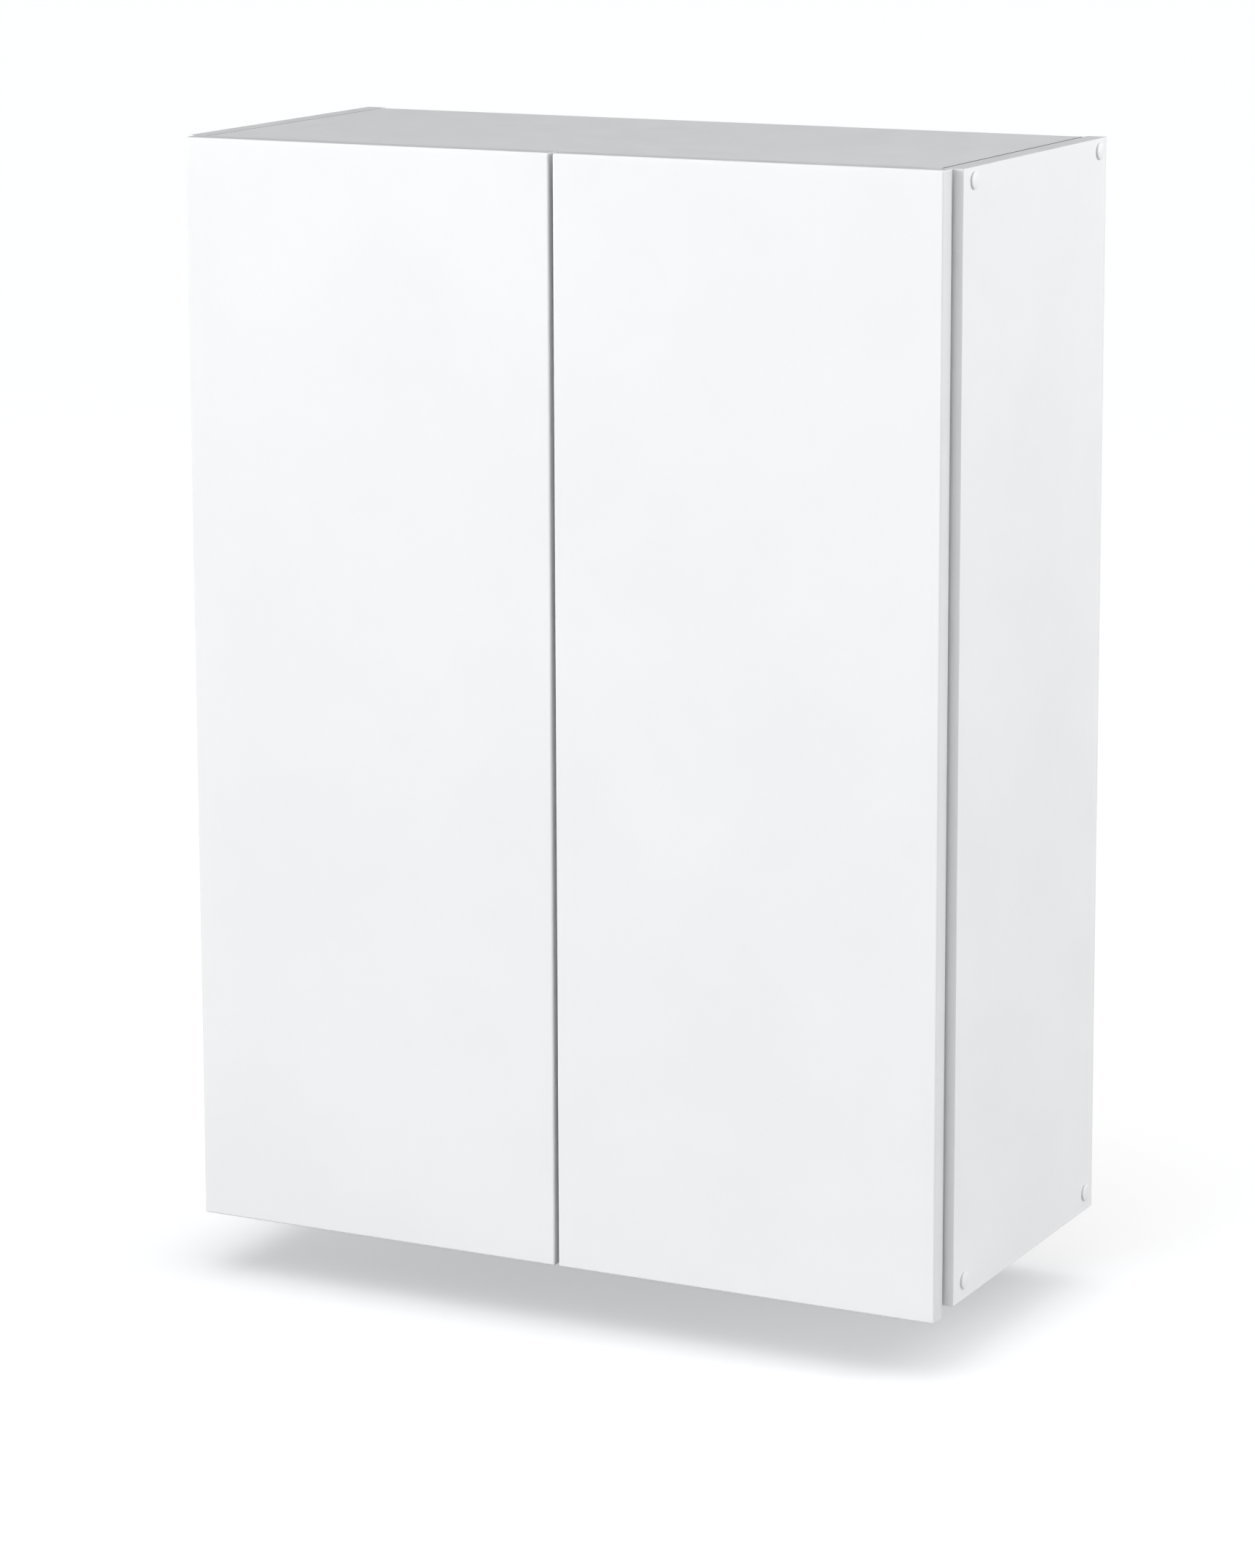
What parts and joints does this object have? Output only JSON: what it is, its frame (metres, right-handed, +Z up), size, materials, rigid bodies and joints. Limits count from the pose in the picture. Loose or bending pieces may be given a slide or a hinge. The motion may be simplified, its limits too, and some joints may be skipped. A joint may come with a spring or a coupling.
{
  "type": "hanging wall cabinet",
  "caption": "White wall-hung storage cabinet with two plain overlay doors on concealed cup hinges, adjustable shelves inside and a finger lip below the doors.",
  "frame": {"origin": "midway between the two hanging holes, on the rear face of the hanging brackets, which is the front face of the back panel; the wall lies 7 mm behind it", "axes": "+X to the right seen from the front, +Y into the wall, +Z up; the doors face -Y"},
  "size_m": [0.604, 0.277, 0.796],
  "materials": {
    "white_board": "white melamine laminate, satin",
    "door_board": "white melamine laminate, satin",
    "edge_band": "white plastic edge band",
    "hardboard": "hardboard, white lacquer inside",
    "dowel_wood": "bare beech",
    "zinc_steel": "zinc plated",
    "nickel_steel": "nickel plated",
    "spring_steel": "oiled spring steel",
    "cap_plastic": "white moulded plastic",
    "bumper": "soft translucent polyurethane"
  },
  "bodies": {
    "cabinet_body": {"left_side_panel": "white_board", "right_side_panel": "white_board", "top_panel": "white_board", "bottom_panel": "white_board", "back_panel": "hardboard", "left_side_edge_bands": "edge_band", "right_side_edge_bands": "edge_band", "top_panel_edge_band": "edge_band", "bottom_panel_edge_band": "edge_band", "upper_shelf": "white_board", "lower_shelf": "white_board", "upper_shelf_edge_band": "edge_band", "lower_shelf_edge_band": "edge_band", "shelf_pins": "zinc_steel", "assembly_screws": "zinc_steel", "left_screw_caps": "cap_plastic", "right_screw_caps": "cap_plastic", "wooden_dowels": "dowel_wood", "back_panel_nails": "zinc_steel", "left_hanging_bracket": "zinc_steel", "right_hanging_bracket": "zinc_steel", "hanging_bracket_screws": "zinc_steel", "left_upper_hinge_arm": "nickel_steel", "left_lower_hinge_arm": "nickel_steel", "right_upper_hinge_arm": "nickel_steel", "right_lower_hinge_arm": "nickel_steel", "left_upper_hinge_plate": "nickel_steel", "left_lower_hinge_plate": "nickel_steel", "right_upper_hinge_plate": "nickel_steel", "right_lower_hinge_plate": "nickel_steel", "hinge_plate_screws": "zinc_steel", "hinge_arm_screws": "zinc_steel", "hinge_adjusting_screws": "zinc_steel"},
    "left_door_leaf": {"left_door": "door_board", "left_door_edge_band": "edge_band", "left_door_bumpers": "bumper", "left_upper_hinge_cup": "nickel_steel", "left_lower_hinge_cup": "nickel_steel", "left_hinge_pins": "zinc_steel", "left_closing_springs": "spring_steel", "left_hinge_cup_screws": "zinc_steel"},
    "right_door_leaf": {"right_door": "door_board", "right_door_edge_band": "edge_band", "right_door_bumpers": "bumper", "right_upper_hinge_cup": "nickel_steel", "right_lower_hinge_cup": "nickel_steel", "right_hinge_pins": "zinc_steel", "right_closing_springs": "spring_steel", "right_hinge_cup_screws": "zinc_steel"}
  },
  "joints": [
    {"name": "left_door_swing", "type": "hinge", "parent": "cabinet_body", "child": "left_door_leaf", "pos_m": [-0.2864, -0.2636, -0.3392], "axis": [0, 0, -1], "range_deg": [0, 95]},
    {"name": "right_door_swing", "type": "hinge", "parent": "cabinet_body", "child": "right_door_leaf", "pos_m": [0.2864, -0.2636, -0.3392], "axis": [0, 0, 1], "range_deg": [0, 95]}
  ]
}
